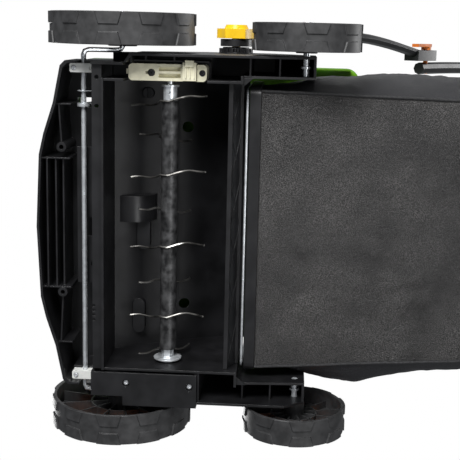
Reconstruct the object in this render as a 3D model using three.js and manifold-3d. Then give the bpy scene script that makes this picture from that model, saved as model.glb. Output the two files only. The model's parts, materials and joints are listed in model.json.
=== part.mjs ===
// Electric lawn raker: a wheeled deck with a spring-tine rotor, belt drive, collecting bag and
// folding handle. Millimetres, +Z up, front towards -Y, the machine's left towards +X.
// It stands on its four wheels at z = 0, and the origin is under the centre of its bounding box.

import * as THREE from 'three';
import { mergeVertices } from 'three/addons/utils/BufferGeometryUtils.js';
import Module from 'manifold-3d';

const wasm = await Module();
wasm.setup();

// ---------------------------------------------------------------- driving dimensions

const FRONT_WHEEL = { radius: 90, width: 38, x: 243, y: -152, lugs: 11 };
const REAR_WHEEL = { radius: 65.5, width: 33, x: 237.5, y: 73, lugs: 8 };
const AXLE = { pivotY: -197, pivotZ: 72, radius: 3.2, armX: 216.8, stub: 12 };
const ROTOR = { y: -90, z: 68, tubeRadius: 10.5, left: 158, right: -155.5, tineReach: 57 };
const TINE = { count: 8, pitch: 45, first: 158, wire: 1.25, jog: 7, lean: 28 };
const MOTOR = { y: -138, z: 173, radius: 37, left: 31, right: -150 };
const PULLEY = { x: -183, width: 12, motorRadius: 12, rotorRadius: 25 };

const WALL = 3;
const RIM_Z = 28;
const DECK_HALF = 215;
const NOSE_HALF = 204;
const CHAMBER = { left: 182, right: -172, front: -165 };
const POD_INNER = 188;
const DECK_REAR = 85;

const HANDLE = { pivotY: -16, pivotZ: 150, tilt: 52, lower: 470, upper: 580, x: 238, upperX: 190 };
const TUBE = { across: 7.2, deep: 11 };
const LID = { pivotY: -4, pivotZ: 209, half: 197, rear: 145, thick: 3.5 };
const BAG = { front: 21, rear: 400, wall: 3 };

const GAP = 0.35;
// Edges shorter than this are merged away after the solids are combined.
const SLIVER = 0.025;

// Centre of the bounding box along Y, so that the part's own origin lies under its middle.
const CENTRE_Y = 211.03;

// ---------------------------------------------------------------- materials

const finish = (color, roughness, metalness = 0) =>
  new THREE.MeshStandardMaterial({ color, roughness, metalness });

const MATERIAL = {
  black: () => finish(0x2b2b2e, 0.5),
  charcoal: () => finish(0x39393b, 0.7),
  lime: () => finish(0x6cc02a, 0.35),
  orange: () => finish(0xe8731e, 0.4),
  yellow: () => finish(0xf2c11d, 0.4),
  cream: () => finish(0xe9e6cf, 0.45),
  white: () => finish(0xdfe0dc, 0.45),
  zinc: () => finish(0xc4c7c9, 0.3, 0.9),
  steel: () => finish(0x8a8c90, 0.45, 0.8),
  tubeSteel: () => finish(0x6d6f72, 0.6, 0.6),
  painted: () => finish(0x232426, 0.4, 0.3),
  rubber: () => finish(0x1c1c1d, 0.85),
  fabric: () => finish(0x3d3d42, 0.95),
};

// ---------------------------------------------------------------- shape helpers

// The signed volume tells whether a closed geometry's faces point outwards.
function signedVolume(position, index) {
  let volume = 0;
  const a = new THREE.Vector3();
  const b = new THREE.Vector3();
  const c = new THREE.Vector3();
  for (let i = 0; i < index.count; i += 3) {
    a.fromBufferAttribute(position, index.getX(i));
    b.fromBufferAttribute(position, index.getX(i + 1));
    c.fromBufferAttribute(position, index.getX(i + 2));
    volume += a.dot(b.cross(c)) / 6;
  }
  return volume;
}

function toSolid(geometry) {
  const bare = geometry.clone();
  bare.deleteAttribute('normal');
  bare.deleteAttribute('uv');
  const merged = mergeVertices(bare, 1e-4);
  const corners = Array.from(merged.index.array);
  const kept = [];
  for (let i = 0; i < corners.length; i += 3) {
    const [a, b, c] = corners.slice(i, i + 3);
    if (a !== b && b !== c && c !== a) {
      kept.push(a, b, c);
    }
  }
  const triVerts = Uint32Array.from(kept);
  if (signedVolume(merged.attributes.position, merged.index) < 0) {
    for (let i = 0; i < triVerts.length; i += 3) {
      [triVerts[i + 1], triVerts[i + 2]] = [triVerts[i + 2], triVerts[i + 1]];
    }
  }
  const vertProperties = Float32Array.from(merged.attributes.position.array);
  return new wasm.Manifold(new wasm.Mesh({ numProp: 3, vertProperties, triVerts }));
}

function toGeometry(solid) {
  const mesh = solid.asOriginal().simplify(SLIVER).getMesh();
  const geometry = new THREE.BufferGeometry();
  geometry.setAttribute('position', new THREE.BufferAttribute(mesh.vertProperties, 3));
  geometry.setIndex(new THREE.BufferAttribute(mesh.triVerts, 1));
  geometry.computeVertexNormals();
  return geometry;
}

const join = (solids) => solids.reduce((sum, solid) => sum.add(solid));
const cut = (solid, tools) => tools.reduce((rest, tool) => rest.subtract(tool), solid);
const common = (solids) => solids.reduce((sum, solid) => sum.intersect(solid));

// A box between two x, two y and two z values.
function block(x0, x1, y0, y1, z0, z1) {
  const geometry = new THREE.BoxGeometry(Math.abs(x1 - x0), Math.abs(y1 - y0), Math.abs(z1 - z0));
  geometry.translate((x0 + x1) / 2, (y0 + y1) / 2, (z0 + z1) / 2);
  return toSolid(geometry);
}

function shapeOf(points) {
  return new THREE.Shape(points.map(([u, v]) => new THREE.Vector2(u, v)));
}

// An outline is either a THREE.Shape or a list of corners.
function outlineShape(outline) {
  return outline instanceof THREE.Shape ? outline : shapeOf(outline);
}

function extruded(shape, depth) {
  return new THREE.ExtrudeGeometry(shape, { depth, bevelEnabled: false, curveSegments: 4 });
}

// Outline in (y, z), extruded along X between x0 and x1.
function alongX(outline, x0, x1) {
  const shape = outlineShape(outline);
  const geometry = extruded(shape, Math.abs(x1 - x0));
  const basis = new THREE.Matrix4().makeBasis(
    new THREE.Vector3(0, 1, 0), new THREE.Vector3(0, 0, 1), new THREE.Vector3(1, 0, 0));
  geometry.applyMatrix4(basis);
  geometry.translate(Math.min(x0, x1), 0, 0);
  return toSolid(geometry);
}

// Outline in (x, z), extruded along Y between y0 and y1.
function alongY(outline, y0, y1) {
  const shape = outlineShape(outline);
  const geometry = extruded(shape, Math.abs(y1 - y0));
  const basis = new THREE.Matrix4().makeBasis(
    new THREE.Vector3(1, 0, 0), new THREE.Vector3(0, 0, 1), new THREE.Vector3(0, -1, 0));
  geometry.applyMatrix4(basis);
  geometry.translate(0, Math.max(y0, y1), 0);
  return toSolid(geometry);
}

// Outline in (x, y), extruded along Z between z0 and z1.
function alongZ(outline, z0, z1) {
  const shape = outlineShape(outline);
  const geometry = extruded(shape, Math.abs(z1 - z0));
  geometry.translate(0, 0, Math.min(z0, z1));
  return toSolid(geometry);
}

// A round bar parallel to X, Y or Z, from one end to the other along that axis.
function bar(axis, radius, from, to, [u, v], sides = 12) {
  const geometry = new THREE.CylinderGeometry(radius, radius, Math.abs(to - from), sides);
  const middle = (from + to) / 2;
  if (axis === 'x') {
    geometry.rotateZ(Math.PI / 2);
    geometry.rotateX(Math.PI / sides);
    geometry.translate(middle, u, v);
  } else if (axis === 'y') {
    geometry.translate(u, middle, v);
  } else {
    geometry.rotateX(Math.PI / 2);
    geometry.translate(u, v, middle);
  }
  return toSolid(geometry);
}

// A ring or disc turned about an axis parallel to X. The profile is (radius, x) pairs.
function turned(profile, y, z, sides = 32) {
  const points = profile.map(([r, x]) => new THREE.Vector2(r, x));
  if (profile[0][0] > 0) {
    points.push(points[0].clone());
  }
  const geometry = new THREE.LatheGeometry(points, sides);
  geometry.rotateZ(-Math.PI / 2);
  geometry.rotateX(Math.PI / 2);
  geometry.translate(0, y, z);
  return toSolid(geometry);
}

// A straight bar between any two points.
function strut(from, to, radius, sides = 8) {
  const start = new THREE.Vector3(...from);
  const end = new THREE.Vector3(...to);
  const along = end.clone().sub(start);
  const geometry = new THREE.CylinderGeometry(radius, radius, along.length(), sides);
  const up = new THREE.Vector3(0, 1, 0);
  geometry.applyQuaternion(new THREE.Quaternion().setFromUnitVectors(up, along.normalize()));
  const middle = start.add(end).multiplyScalar(0.5);
  geometry.translate(middle.x, middle.y, middle.z);
  return toSolid(geometry);
}

// The same solid, turned by an angle about an axis parallel to X through (y, z).
function turnedAbout(solid, y, z, angle) {
  const geometry = toGeometry(solid);
  geometry.translate(0, -y, -z);
  geometry.rotateX(angle);
  geometry.translate(0, y, z);
  return toSolid(geometry);
}

// A section with radii a and b swept along a smooth curve through the points.
function sweep(points, a, b, steps, sides) {
  const curve = new THREE.CatmullRomCurve3(points.map((p) => new THREE.Vector3(...p)));
  const section = [];
  for (let i = 0; i < sides; i += 1) {
    const turn = (2 * Math.PI * i) / sides;
    section.push([a * Math.cos(turn), b * Math.sin(turn)]);
  }
  const geometry = new THREE.ExtrudeGeometry(shapeOf(section), { steps, extrudePath: curve });
  return toSolid(geometry);
}

function roundedRect(x0, x1, y0, y1, r) {
  const shape = new THREE.Shape();
  shape.moveTo(x0 + r, y0);
  shape.lineTo(x1 - r, y0);
  shape.absarc(x1 - r, y0 + r, r, -Math.PI / 2, 0, false);
  shape.lineTo(x1, y1 - r);
  shape.absarc(x1 - r, y1 - r, r, 0, Math.PI / 2, false);
  shape.lineTo(x0 + r, y1);
  shape.absarc(x0 + r, y1 - r, r, Math.PI / 2, Math.PI, false);
  shape.lineTo(x0, y0 + r);
  shape.absarc(x0 + r, y0 + r, r, Math.PI, 1.5 * Math.PI, false);
  return shape;
}

// ---------------------------------------------------------------- scene graph

const machine = new THREE.Group();
machine.position.y = -CENTRE_Y;

const rad = THREE.MathUtils.degToRad;

function place(name, solid, material, parent = machine) {
  const mesh = new THREE.Mesh(toGeometry(solid), MATERIAL[material]());
  mesh.name = name;
  parent.add(mesh);
  return mesh;
}

// ---------------------------------------------------------------- deck

// The chamber's roof rises towards the rear, from the front wall to the bag's mouth.
const ROOF = [[-168, 105], [-113, 139], [-88, 154], [-30, 179], [2, 189]];

function roofStrip(x0, x1, points, thickness) {
  const over = points.map(([y, z]) => [y, z + thickness]).reverse();
  return alongX([...points, ...over], x0, x1);
}

// The right pod begins where the belt cover ends.
const POD_FRONT = -48.6;
const POD_SIDE = [[-134, RIM_Z], [60, RIM_Z], [DECK_REAR, 48], [DECK_REAR, 128],
  [34, 178], [-56, 178], [-134, 133]];

// Closing strip over a side pod. Ahead of the bag's mouth it reaches in to the chamber's wall.
function podTop(side, inner) {
  const outer = side * (DECK_HALF - 1);
  const ahead = side > 0 ? [[-168, 113], [-134, 130], [-56, 175], [0, 175]] : [[POD_FRONT, 175], [0, 175]];
  const behind = [[-1, 175], [34, 175], [DECK_REAR, 125]];
  return join([roofStrip(inner, outer, ahead, WALL),
    roofStrip(side * POD_INNER, outer, behind, WALL)]);
}

function deckShell() {
  const { left, right, front } = CHAMBER;
  const outerL = left + WALL;
  const outerR = right - WALL;
  const wallSide = [[front - WALL, RIM_Z + 2], [0, RIM_Z + 2], [0, 190], [-30, 181], [-88, 156],
    [-113, 141], [front - WALL, 107]];
  const pieces = [
    block(outerR, outerL, front - WALL, front, RIM_Z, 107),
    block(outerR, outerL, -180, front - WALL, RIM_Z + 6, RIM_Z + 9),
    block(-77, 97, -208, front - WALL, 82, 85),
    roofStrip(outerR, outerL, ROOF, WALL),
    alongX(wallSide, left, outerL),
    alongX([...wallSide.slice(0, 4), [-88, 188], [-182, 188], [-182, 119.5],
      [front - WALL, 119.5]],
      outerR, right),
  ];
  for (const side of [1, -1]) {
    const inner = side > 0 ? left : right;
    const frontY = side > 0 ? -134 : POD_FRONT;
    const profile = side > 0 ? POD_SIDE
      : [[POD_FRONT, RIM_Z], ...POD_SIDE.slice(1, 5), [POD_FRONT, 178]];
    pieces.push(alongX(profile, side * (DECK_HALF - WALL), side * DECK_HALF));
    pieces.push(block(inner, side * (POD_INNER + WALL), -3, 0, RIM_Z + 2, 178));
    pieces.push(alongX([[-3, 40], [DECK_REAR, 48], [DECK_REAR, 128], [34, 178], [-3, 178]],
      side * POD_INNER, side * (POD_INNER + WALL)));
    pieces.push(podTop(side, inner));
    pieces.push(block(side * POD_INNER, side * (DECK_HALF - 1), DECK_REAR - WALL, DECK_REAR, 48, 127));
    for (const ribY of [6, 41]) {
      pieces.push(block(side * (POD_INNER + 1), side * (DECK_HALF - 1), ribY, ribY + 2, 50, 150));
    }
    // Rosette tower under the handle's pivot.
    pieces.push(bar('x', 21, side * (DECK_HALF - 6), side * (DECK_HALF + 1.2),
      [HANDLE.pivotY, HANDLE.pivotZ], 20));
    pieces.push(block(inner, side * (DECK_HALF - 1), frontY, frontY + 2.4, RIM_Z + 4, 128));
  }
  // Left front corner: the wall steps in beside the front wheel's crank arm.
  pieces.push(block(NOSE_HALF - WALL, NOSE_HALF, -180, -138, RIM_Z, 112));
  pieces.push(alongZ([[NOSE_HALF - WALL, -140], [NOSE_HALF, -141], [DECK_HALF, -134],
    [DECK_HALF - WALL, -132]], RIM_Z, 125));
  pieces.push(block(outerL - 1, NOSE_HALF - 1, -180, -168, RIM_Z + 6, RIM_Z + 9));
  pieces.push(block(outerL - 1, NOSE_HALF - 0.5, -167, -133, 109.5, 112.4));
  // Bearing shelf on the left and its back wall.
  pieces.push(block(outerL - 1, DECK_HALF - 1, -142, -42, 86, 89));
  pieces.push(block(205, 207, -142, -42, 50, 88));
  // Ribs that stiffen the outer left wall.
  for (const ribY of [-118, -84]) {
    pieces.push(block(206, DECK_HALF - 1, ribY, ribY + 2, 44, 88));
  }
  // Bosses and stiffeners on the chamber's roof.
  for (const side of [1, -1]) {
    pieces.push(lidHinge(side), handleRosette(side));
  }
  pieces.push(bar('z', 7, 125, 137, [163, -125], 18));
  pieces.push(alongZ(roundedRect(-152, -106, -143, -127, 7.9), 118, 129));
  pieces.push(alongZ(roundedRect(-40, 6, -138, -121, 8), 121, 132));
  pieces.push(common([bar('x', 32, -2, 32, [-146, 140], 24), alongX([[-172, 100], [-112, 100],
    [-112, 149], [-161, 149], [-163, 138], [-163, 112.5], [-172, 107]], -3, 33)]));
  // Rear sill cross-bars: the corner gussets beside the bag's mouth.
  for (const side of [1, -1]) {
    pieces.push(alongZ([[side * (POD_INNER + 1), -1], [side * (POD_INNER + 1), 12],
      [side * 178, -1]], 34, 37));
  }
  const tools = [
    // Pocket for the rotor's left bearing block, open below.
    block(left - 1, 204, -141.5, -42.5, RIM_Z - 1, 85.5),
    // Rotor stub through the right wall, and the motor's shaft above it.
    bar('x', 14, outerR - 1, right + 1, [ROTOR.y, ROTOR.z], 16),
    bar('x', 11, outerR - 1, right + 1, [MOTOR.y, MOTOR.z], 16),
    // Room for the motor's tail inside its bulge.
    bar('x', 22, 1, 29, [MOTOR.y, 138], 20),
    block(1, 29, MOTOR.y - 22, MOTOR.y + 22, 140, 160),
    block(-3, 33, MOTOR.y - 27, MOTOR.y + 27, 149, 170),
    // Slot in the flat roof boss, and drain holes in the roof.
    block(155, 171, -126.5, -123.5, 123, 128),
    bar('z', 7, 150, 180, [118, -77], 14),
    bar('z', 7, 150, 180, [-121, -79], 14),
    // Fixing holes in the front flange.
    bar('z', 2.6, 30, 42, [186, -174], 12),
    bar('z', 2.6, 30, 42, [152, -174], 12),
    bar('z', 5, 80, 87, [-52, -186], 18),
    block(-16, 8, -200, -182, 80, 87),
  ];
  for (let i = 0; i < 4; i += 1) {
    tools.push(block(-113 + 6 * i, -110 + 6 * i, -181, -176.5, 30, 42));
  }
  for (const side of [1, -1]) {
    tools.push(bar('x', 4.4, side * (POD_INNER - 1), side * (DECK_HALF + 1),
      [REAR_WHEEL.y, REAR_WHEEL.radius], 12));
  }
  for (const side of [1, -1]) {
    tools.push(bar('x', 6, side * (POD_INNER + 4), side * (ROSETTE_X + 9),
      [HANDLE.pivotY, HANDLE.pivotZ], 12));
  }
  return cut(join(pieces), tools);
}

// Cross-braced lattice at the rear of the chamber, below the bag's mouth.
function rearLattice() {
  const low = CHAMBER.right + GAP;
  const high = CHAMBER.left - GAP;
  const sheet = [[-14, 47], [-13, 46.4], [-2, 68], [-3, 68.6]];
  const pieces = [
    block(low, high, -17, -12, 40, 47),
    block(low, high, -4, -0.4, 65, 71),
    alongX(sheet, low, high),
  ];
  const bays = 6;
  const pitch = (high - low) / bays;
  for (let i = 0; i < bays; i += 1) {
    const x0 = low + i * pitch;
    pieces.push(strut([x0, -13.6, 45.5], [x0 + pitch, -2.6, 67.5], 1.3, 4));
    pieces.push(strut([x0 + pitch, -13.6, 45.5], [x0, -2.6, 67.5], 1.3, 4));
  }
  return join(pieces).intersect(block(low, high, -20, 2, 30, 80));
}

// ---------------------------------------------------------------- nose and covers

const NOSE_OUTLINE = [[0, -253], [90, -249], [116, -243], [153, -231], [198, -222],
  [NOSE_HALF, -216], [NOSE_HALF, -181]];

function noseOutline(inset) {
  const half = NOSE_OUTLINE.map(([x, y]) => [x * (1 - inset / NOSE_HALF), Math.min(y + inset, -181)]);
  const mirrored = half.slice(1).map(([x, y]) => [-x, y]).reverse();
  return [...half, ...mirrored];
}

function frontNose() {
  const rimZ = 52;
  const topZ = 118;
  const tray = cut(alongZ(noseOutline(0), rimZ, topZ),
    [alongZ(noseOutline(WALL), rimZ - 1, topZ - WALL)]);
  // The tray's top runs back to the chamber's front wall between the cranks.
  const back = block(CHAMBER.right - WALL - GAP, NOSE_HALF, -182, -169, topZ - WALL, topZ);
  const pieces = [tray, back];
  // Three long ribs behind the grille, and the two bulkheads at its ends.
  for (const [ribY, low] of [[-241, 56], [-231, 60], [-223, 66]]) {
    pieces.push(block(-77, 84, ribY, ribY + 2, low, topZ - 1));
  }
  for (const endX of [84, -79]) {
    pieces.push(block(endX, endX + 2, -250, -212, 58, topZ - 1));
  }
  // Screw posts with diagonal ribs to the corners.
  for (const side of [1, -1]) {
    const postX = side > 0 ? 99 : -84;
    pieces.push(bar('z', 6, 56, topZ - 1, [postX, -222], 18));
    const reach = side > 0 ? [[105, -224], [150, -227]] : [[-90, -224], [-150, -227]];
    pieces.push(alongZ([reach[0], reach[1], [reach[1][0], reach[1][1] + 2],
      [reach[0][0], reach[0][1] + 2]], 62, topZ - 1));
    pieces.push(block(side * 150, side * 152, -229, -211, 62, topZ - 1));
    // Saddle post above the crank axle.
    pieces.push(block(side * 187, side * 203, -213, -182, AXLE.pivotZ + 4.2, topZ - 1));
  }
  const tools = [];
  for (const side of [1, -1]) {
    const postX = side > 0 ? 99 : -84;
    tools.push(bar('z', 2.8, 50, 90, [postX, -222], 12));
    tools.push(block(side * 200, side * 206, AXLE.pivotY - 5, AXLE.pivotY + 5, 50, AXLE.pivotZ + 6));
    tools.push(bar('z', 1.8, AXLE.pivotZ, 100, [side * 195, -207.5], 10));
  }
  // Blind slots moulded into the front face, which slopes back from the middle.
  for (let i = 0; i < 11; i += 1) {
    const x = -68 + 13.6 * i;
    const face = -253 + (4 * Math.abs(x)) / 90;
    tools.push(block(x - 3, x + 3, -256, face + 1.4, 70, 106));
  }
  // Opening for the depth lever.
  tools.push(block(144, 156, -214, -172, topZ - 5, topZ + 1));
  return cut(join(pieces), tools);
}

// The hood is the common part of a side, a front and a plan outline, made hollow.
const HOOD_LOW = 118.5;

function hoodBlock(t, low = HOOD_LOW) {
  const side = [[-247 + t, low], [-245 + t, 142 - t], [-226 + t, 172 - t], [-192, 201 - t],
    [-158, 224 - t], [-120, 233 - t], [-80, 232 - t], [-40, 220 - t], [-10 - t, 203 - t],
    [-10 - t, low]];
  const w = NOSE_HALF - t;
  const frontShape = [[-w, low], [-w, 168], [-w + 7, 190 - t], [-w + 40, 214 - t], [-90, 232 - t],
    [0, 236 - t], [90, 232 - t], [w - 40, 214 - t], [w - 7, 190 - t], [w, 168], [w, low]];
  const plan = [[0, -247 + t], [86, -243 + t], [114, -237 + t], [150, -226 + t], [188, -215 + t],
    [w, -202], [w, -10 - t], [-w, -10 - t], [-w, -202], [-188, -215 + t], [-150, -226 + t],
    [-114, -237 + t], [-86, -243 + t]];
  return common([alongX(side, -w, w), alongY(frontShape, -260, 0), alongZ(plan, low, 250)]);
}

function hood() {
  const baseZ = HOOD_LOW;
  const shell = cut(hoodBlock(0), [hoodBlock(WALL, baseZ - 1)]);
  // The lower edge clears the side pods, which rise towards the rear.
  const pods = alongX([[-182, 100], [-182, baseZ], [-134, 137], [-56, 181.5], [-30, 185],
    [0, 194], [0, 100]], -NOSE_HALF - 2, NOSE_HALF + 2);
  const tools = [pods];
  for (let i = 0; i < 7; i += 1) {
    tools.push(block(-66, 66, -190 + 11 * i, -185 + 11 * i, 190, 240));
  }
  tools.push(block(145, 155, -222, -146, 150, 240));
  return cut(shell, tools);
}

function ventGrille() {
  const frame = common([hoodBlock(-3.2), block(-78, 78, -204, -112, 190, 245)]);
  const shell = cut(frame, [hoodBlock(-GAP, HOOD_LOW - 1)]);
  const tools = [];
  for (let i = 0; i < 7; i += 1) {
    tools.push(block(-62, 62, -189.5 + 11 * i, -185.5 + 11 * i, 180, 250));
  }
  return cut(shell, tools);
}

function beltCover() {
  const low = 25;
  const outer = [[-180.6, low], [-49, low], [-49, 174], [-60, 178], [-134, 134], [-180.6, 114]];
  const shell = cut(alongX(outer, -219, -176 + GAP - 0.7), [
    alongX([[-177.6, low + WALL], [-52, low + WALL], [-52, 172], [-60, 175], [-133, 131],
      [-177.6, 112]], -216, -170),
  ]);
  // The front corner is narrower beside the crank arm.
  const corner = block(-222, -206, -187, -141, low - 1, 140);
  const cornerWall = block(-207, -204, -180.6, -138, low, 113);
  const step = alongZ([[-204, -141], [-207, -141], [-219, -133], [-216, -131]], low, 128);
  const pieces = [cut(shell, [corner]), cornerWall, step];
  const screws = [[-190, -137], [-192, -58]];
  for (const [x, y] of screws) {
    pieces.push(bar('z', 6.5, low, 44, [x, y], 18));
  }
  const tools = screws.map(([x, y]) => bar('z', 4.6, low - 1, low + 5, [x, y], 18));
  for (const [x, y] of screws) {
    tools.push(bar('z', 2.2, low, 46, [x, y], 10));
  }
  // The belt leaves through the cover's top.
  tools.push(block(-197, -170, -160, -64, 100, 190));
  return cut(join(pieces), tools);
}

// ---------------------------------------------------------------- drive

function motor() {
  return turned([[0, MOTOR.right], [34, MOTOR.right], [38, MOTOR.right + 6],
    [38, MOTOR.right + 22], [MOTOR.radius, MOTOR.right + 22], [MOTOR.radius, -35],
    [36, -35], [36, -17], [20, -9], [20, MOTOR.left - 4], [0, MOTOR.left - 4]],
  MOTOR.y, MOTOR.z, 18);
}

function pulley(radius, y, z, bore) {
  const half = PULLEY.width / 2;
  const flange = radius + 2.4;
  return turned([[bore, PULLEY.x - half], [flange, PULLEY.x - half], [flange, PULLEY.x - half + 1.6],
    [radius, PULLEY.x - half + 1.6], [radius, PULLEY.x + half - 1.6],
    [flange, PULLEY.x + half - 1.6], [flange, PULLEY.x + half], [bore, PULLEY.x + half]], y, z, 18);
}

// The small pulley and the end of the motor's shaft that carries it.
function motorPulley() {
  const shaft = bar('x', 4.4, PULLEY.x - 9, MOTOR.right - GAP, [MOTOR.y, MOTOR.z], 12);
  return pulley(PULLEY.motorRadius, MOTOR.y, MOTOR.z, 4).add(shaft);
}

// Outline of a belt round both pulleys, grown by t from their working radii.
function beltOutline(t) {
  const a = new THREE.Vector2(MOTOR.y, MOTOR.z);
  const b = new THREE.Vector2(ROTOR.y, ROTOR.z);
  const along = b.clone().sub(a);
  const heading = along.angle();
  const ra = PULLEY.motorRadius + t;
  const rb = PULLEY.rotorRadius + t;
  const spread = Math.acos((ra - rb) / along.length());
  const points = [];
  const arc = (centre, radius, from, to) => {
    const steps = 9;
    for (let i = 0; i <= steps; i += 1) {
      const turn = from + ((to - from) * i) / steps;
      points.push([centre.x + radius * Math.cos(turn), centre.y + radius * Math.sin(turn)]);
    }
  };
  arc(b, rb, heading - spread, heading + spread);
  arc(a, ra, heading + spread, heading + 2 * Math.PI - spread);
  return points;
}

function driveBelt() {
  const half = PULLEY.width / 2 - 1.6 - 0.5;
  return cut(alongX(beltOutline(3.4), PULLEY.x - half, PULLEY.x + half),
    [alongX(beltOutline(1), PULLEY.x - half - 1, PULLEY.x + half + 1)]);
}

// ---------------------------------------------------------------- rotor

function rotorTube() {
  return turned([[6, ROTOR.right], [ROTOR.tubeRadius, ROTOR.right],
    [ROTOR.tubeRadius, ROTOR.left], [6, ROTOR.left]], ROTOR.y, ROTOR.z, 24);
}

// Zinc ferrule on the tube's left end, with the stub that turns in the bearing block.
function rotorFerrule() {
  const x0 = ROTOR.left + GAP;
  const body = turned([[0, x0], [8.6, x0], [8.6, 175], [11, 175], [11, 177.4], [3.6, 177.4],
    [3.6, 196], [0, 196]], ROTOR.y, ROTOR.z, 16);
  return cut(body, [bar('z', 1.6, ROTOR.z - 12, ROTOR.z - 5, [168, ROTOR.y], 10)]);
}

function rotorDriveEnd() {
  const hex = bar('x', 7.8, -165.5, ROTOR.right - GAP, [ROTOR.y, ROTOR.z], 6);
  const washer = turned([[0, -168.5], [17.6, -168.5], [17.6, -166.6], [12.5, -165.2],
    [0, -165.2]], ROTOR.y, ROTOR.z, 24);
  const collar = bar('x', 11.5, -171, -168, [ROTOR.y, ROTOR.z], 24);
  const shaft = bar('x', 6, -201, -170, [ROTOR.y, ROTOR.z], 20);
  return join([hex, washer, collar, shaft]);
}

// One wire tine: it passes under the tube and leaves it on both sides with a sideways jog.
function tine(index) {
  const x = TINE.first - TINE.pitch * index;
  const r = ROTOR.tubeRadius + TINE.wire + GAP;
  const reach = ROTOR.tineReach - TINE.wire;
  const jog = TINE.jog;
  const path = [
    [-jog - 1.5, -reach, -5], [-jog, -reach + 9, 0.5], [-jog, -28, 1], [-jog + 1.5, -21, 0],
    [-2.5, -12, -6.5], [0, -6, -r + 0.8], [0, 0, -r], [0, 6, -r + 0.8], [2.5, 12, -6.5],
    [jog - 1.5, 21, 0], [jog, 28, 1], [jog, reach - 9, 0.5], [jog + 1.5, reach, -5],
  ];
  const turn = rad(-TINE.lean - (index % 2) * 90);
  const c = Math.cos(turn);
  const s = Math.sin(turn);
  const points = path.map(([dx, dy, dz]) => [x + dx, ROTOR.y + dy * c - dz * s,
    ROTOR.z + dy * s + dz * c]);
  return sweep(points, TINE.wire, TINE.wire, 22, 5);
}

function bearingBlock() {
  const x0 = CHAMBER.left + 0.4;
  const x1 = 202.5;
  const base = alongZ(roundedRect(x0, x1, -138.6, -44.7, 5), 50, 84);
  const tab = block(190, 196, -141.2, -137, 52, 58);
  const tools = [
    bar('x', 4.1, x0 - 1, 198, [ROTOR.y, ROTOR.z], 14),
    // Two sunk slots and the keyhole round the bolt.
    block(186, 191, -102, -76, 49, 57),
    block(194, 199, -102, -76, 49, 57),
    bar('z', 4.6, 49, 54, [192, -111], 12),
    block(190.5, 193.5, -118, -111, 49, 54),
    // Seat for the locking slide.
    block(x0 - 1, x1 + 1, -73.5, -56.5, 49, 58),
    bar('z', 4.1, 49, 51.6, [192.5, -50], 12),
    bar('z', 1.9, 51, 70, [192.5, -50], 6),
    bar('z', 2.3, 51, 72, [192, -111], 6),
  ];
  return cut(base.add(tab), tools);
}

function bearingLatch() {
  const x0 = CHAMBER.left + 1.4;
  const plate = block(x0, 205, -73, -57, 44.5, 57.6);
  const grip = block(200, 207.5, -70, -60, 42, 52);
  const ridges = [];
  for (let i = 0; i < 3; i += 1) {
    ridges.push(block(x0 + 3, 198.5, -70 + 5 * i, -68.4 + 5 * i, 43, 46));
  }
  return join([plate, grip, ...ridges]).subtract(block(204.6, 210, -74, -56, 49.5, 60));
}

// ---------------------------------------------------------------- crank axle

// Bent rod: it turns in the two clamps, and carries a front wheel on each cranked end.
function crankAxle() {
  const { pivotY, pivotZ, radius, armX } = AXLE;
  const wheelZ = FRONT_WHEEL.radius;
  const end = FRONT_WHEEL.x + AXLE.stub;
  const corner = 5;
  const pieces = [bar('x', radius, -armX + corner, armX - corner, [pivotY, pivotZ], 8)];
  for (const side of [1, -1]) {
    const path = [[armX - corner - 6, pivotY, pivotZ], [armX - corner, pivotY, pivotZ],
      [armX - 0.6, pivotY + 2.6, pivotZ + 1], [armX, pivotY + 8, pivotZ + 3.2],
      [armX, FRONT_WHEEL.y - 8, wheelZ - 3.2], [armX + 0.8, FRONT_WHEEL.y - 2.4, wheelZ - 1],
      [armX + corner, FRONT_WHEEL.y, wheelZ], [armX + corner + 5, FRONT_WHEEL.y, wheelZ]];
    const bend = sweep(path.map(([x, y, z]) => [side * x, y, z]), radius, radius, 13, 8);
    pieces.push(bend, bar('x', radius, side * (armX + corner + 4), side * end,
      [FRONT_WHEEL.y, wheelZ], 8));
  }
  return join(pieces);
}

function axleClamp(side) {
  const x = side * 195;
  const { pivotY, pivotZ } = AXLE;
  const body = alongZ(roundedRect(x - 5.5, x + 5.5, -212.5, -183.5, 2), pivotZ - 9,
    pivotZ + 4.2 - GAP);
  return cut(body, [
    bar('x', AXLE.radius + 0.25, x - 8, x + 8, [pivotY, pivotZ], 20),
    block(x - 8, x + 8, pivotY - AXLE.radius - 0.25, pivotY + AXLE.radius + 0.25, pivotZ, pivotZ + 6),
    bar('z', 3.4, pivotZ - 10, pivotZ - 6.6, [x, -207.5], 16),
    bar('z', 1.8, pivotZ - 10, pivotZ + 8, [x, -207.5], 10),
    block(x - 2, x + 2, -188, -182, pivotZ - 10, pivotZ - 4),
  ]);
}

// Wire spring between the crank axle and the deck's front flange.
function axleSpring() {
  return sweep([[167, -204, 82], [167, -204, 72], [167, -200, 66.8], [167, -195, 66.8],
    [167, -188, 72], [167, -178, 78], [167, -171, 79], [160, -170, 79]], 0.9, 0.9, 18, 6);
}

const LEVER_X = 150;
const LEVER_LEAN = 15;
const LEVER_LENGTH = 174;

function depthLever() {
  const rod = alongZ(roundedRect(LEVER_X - 2, LEVER_X + 2, -6, 6, 1.9), 4, LEVER_LENGTH);
  const eye = bar('x', 8, LEVER_X - 2, LEVER_X + 2, [0, 0], 20);
  const solid = cut(rod.add(eye), [bar('x', AXLE.radius + GAP, LEVER_X - 4, LEVER_X + 4, [0, 0], 20)]);
  return solid;
}

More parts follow.
